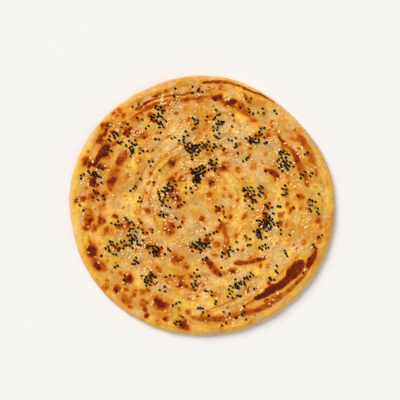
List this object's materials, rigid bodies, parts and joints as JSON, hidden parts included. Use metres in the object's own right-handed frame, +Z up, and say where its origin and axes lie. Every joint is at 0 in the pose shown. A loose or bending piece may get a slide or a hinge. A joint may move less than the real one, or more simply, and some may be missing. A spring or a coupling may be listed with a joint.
{
  "type": "paratha flatbread",
  "caption": "Round coiled flatbread, griddle fried, with a soft rolled rim, low folded ridges on top and a flat underside to rest on.",
  "frame": {"origin": "on the table surface, under the middle of the bread's outline", "axes": "+Z up out of the seeded top, +Y towards the upper edge as served, +X to the right"},
  "size_m": [0.265, 0.2594, 0.0096],
  "materials": {
    "fried_dough": "golden fried dough with browned spots, lightly oiled",
    "black_seed": "dull black seed",
    "white_seed": "toasted cream seed, satin"
  },
  "bodies": {
    "root": {"paratha": "fried_dough"}
  },
  "joints": []
}
